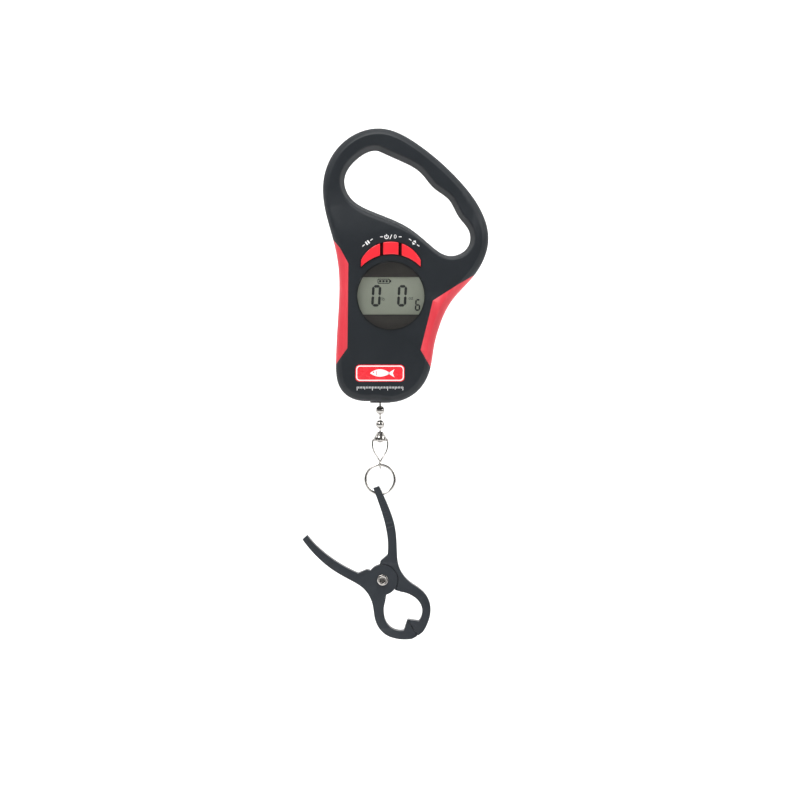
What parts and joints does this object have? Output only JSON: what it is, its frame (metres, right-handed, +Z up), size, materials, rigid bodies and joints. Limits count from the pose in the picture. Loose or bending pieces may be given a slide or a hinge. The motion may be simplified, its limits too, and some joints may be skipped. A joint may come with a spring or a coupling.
{
  "type": "digital fish scale",
  "caption": "Handheld hanging fish scale with looped finger handle, round display, arc of push buttons and rubber side grips, ball chain, split ring and spring jaw clamp.",
  "frame": {"origin": "top of the handle opening, where a hand or hook carries the scale, right above the chain", "axes": "+Z up along the line of the load, +X to the right seen from the display, -Y the face with the display"},
  "size_m": [0.0981, 0.0277, 0.2697],
  "materials": {
    "case": "fine moulded texture, satin",
    "grip": "satin overmoulded rubber",
    "lens": "clear acrylic",
    "foam": "foam",
    "mask": "printed film",
    "lcd": "grey-green liquid crystal panel",
    "white_plastic": "moulded",
    "silicone_dark": "conductive silicone",
    "board": "solder mask over glass fibre",
    "chip": "moulded epoxy",
    "ceramic_parts": "small soldered parts",
    "button": "smooth moulded",
    "keypad": "silicone",
    "badge": "printed plate",
    "screw_steel": "plain",
    "load_cell": "milled",
    "gauge_film": "film",
    "wire": "insulated wire",
    "battery": "printed sleeve",
    "contact": "nickel plated",
    "nickel": "bright nickel plating",
    "collar": "polished",
    "clamp": "moulded with ribs",
    "spring_wire": "spring steel"
  },
  "bodies": {
    "case": {"front_shell": "case", "rear_shell": "case", "grip_left": "grip", "grip_right": "grip", "display_lens": "lens", "lens_gasket": "foam", "display_mask": "mask", "lcd_glass": "lcd", "lcd_frame": "white_plastic", "contact_strips": "silicone_dark", "main_board": "board", "controller_chip": "chip", "board_components": "ceramic_parts", "switch_bodies": "chip", "keypad_web": "keypad", "badge_plate": "badge", "case_screws": "screw_steel", "load_cell_screws": "screw_steel", "load_cell": "load_cell", "strain_gauges": "gauge_film", "load_cell_wires": "wire", "battery_left": "battery", "battery_right": "battery", "battery_contacts": "contact", "battery_springs": "contact", "chain_anchor": "nickel", "bottom_collar": "collar", "chain_bead_0": "nickel"},
    "door": {"battery_door": "case"},
    "left_button": {"button_left": "button", "switch_stem_left": "white_plastic"},
    "centre_button": {"button_centre": "button", "switch_stem_centre": "white_plastic"},
    "right_button": {"button_right": "button", "switch_stem_right": "white_plastic"},
    "rod_1": {"chain_rod_1": "nickel"},
    "bead_1": {"chain_bead_1": "nickel"},
    "rod_2": {"chain_rod_2": "nickel"},
    "bead_2": {"chain_bead_2": "nickel"},
    "rod_3": {"chain_rod_3": "nickel"},
    "bead_3": {"chain_bead_3": "nickel"},
    "cup": {"chain_cup": "nickel"},
    "bail": {"wire_bail": "nickel"},
    "ring": {"split_ring": "nickel"},
    "clamp": {"clamp_half_rear": "clamp", "clamp_rivet": "nickel", "clamp_spring": "spring_wire"},
    "clamp_lever": {"clamp_half_front": "clamp", "clamp_spring_leg": "spring_wire"}
  },
  "joints": [
    {"name": "press_left", "type": "slide", "parent": "case", "child": "left_button", "axis": [0, 1, 0], "range_m": [0, 0.0008], "stiffness_N_per_m": 1200, "springref_m": -0.0004},
    {"name": "press_centre", "type": "slide", "parent": "case", "child": "centre_button", "axis": [0, 1, 0], "range_m": [0, 0.0008], "stiffness_N_per_m": 1200, "springref_m": -0.0004},
    {"name": "press_right", "type": "slide", "parent": "case", "child": "right_button", "axis": [0, 1, 0], "range_m": [0, 0.0008], "stiffness_N_per_m": 1200, "springref_m": -0.0004},
    {"name": "door_opens", "type": "hinge", "parent": "case", "child": "door", "pos_m": [0.002, 0.0143, -0.05], "axis": [1, 0, 0], "range_deg": [0, 80]},
    {"name": "chain_twist", "type": "hinge", "parent": "case", "child": "rod_1", "pos_m": [0, 0, -0.13023], "axis": [0, 0, 1], "continuous": true},
    {"name": "bead_1_tilt", "type": "hinge", "parent": "rod_1", "child": "bead_1", "pos_m": [0, 0, -0.13572], "axis": [0, 1, 0], "range_deg": [-10, 10]},
    {"name": "rod_2_tilt", "type": "hinge", "parent": "bead_1", "child": "rod_2", "pos_m": [0, 0, -0.13768], "axis": [1, 0, 0], "range_deg": [-10, 10]},
    {"name": "bead_2_tilt", "type": "hinge", "parent": "rod_2", "child": "bead_2", "pos_m": [0, 0, -0.14317], "axis": [0, -1, 0], "range_deg": [-10, 10]},
    {"name": "rod_3_tilt", "type": "hinge", "parent": "bead_2", "child": "rod_3", "pos_m": [0, 0, -0.14513], "axis": [-1, 0, 0], "range_deg": [-10, 10]},
    {"name": "bead_3_tilt", "type": "hinge", "parent": "rod_3", "child": "bead_3", "pos_m": [0, 0, -0.15062], "axis": [0, 1, 0], "range_deg": [-6, 6]},
    {"name": "cup_swivel", "type": "hinge", "parent": "bead_3", "child": "cup", "pos_m": [0, 0, -0.1516], "axis": [0, 0, 1], "continuous": true},
    {"name": "bail_swing", "type": "hinge", "parent": "cup", "child": "bail", "pos_m": [0, 0, -0.152], "axis": [1, 0, 0], "range_deg": [-60, 60]},
    {"name": "ring_swing", "type": "hinge", "parent": "bail", "child": "ring", "pos_m": [0, 0, -0.1656], "axis": [0, 1, 0], "range_deg": [-35, 35]},
    {"name": "clamp_swing", "type": "hinge", "parent": "ring", "child": "clamp", "pos_m": [0, 0, -0.181], "axis": [-1, 0, 0], "range_deg": [-60, 60]},
    {"name": "clamp_opens", "type": "hinge", "parent": "clamp", "child": "clamp_lever", "pos_m": [0.00133, 0, -0.22616], "axis": [0, 1, 0], "range_deg": [0, 40], "stiffness_Nm_per_rad": 0.3, "springref_deg": -28.65}
  ]
}
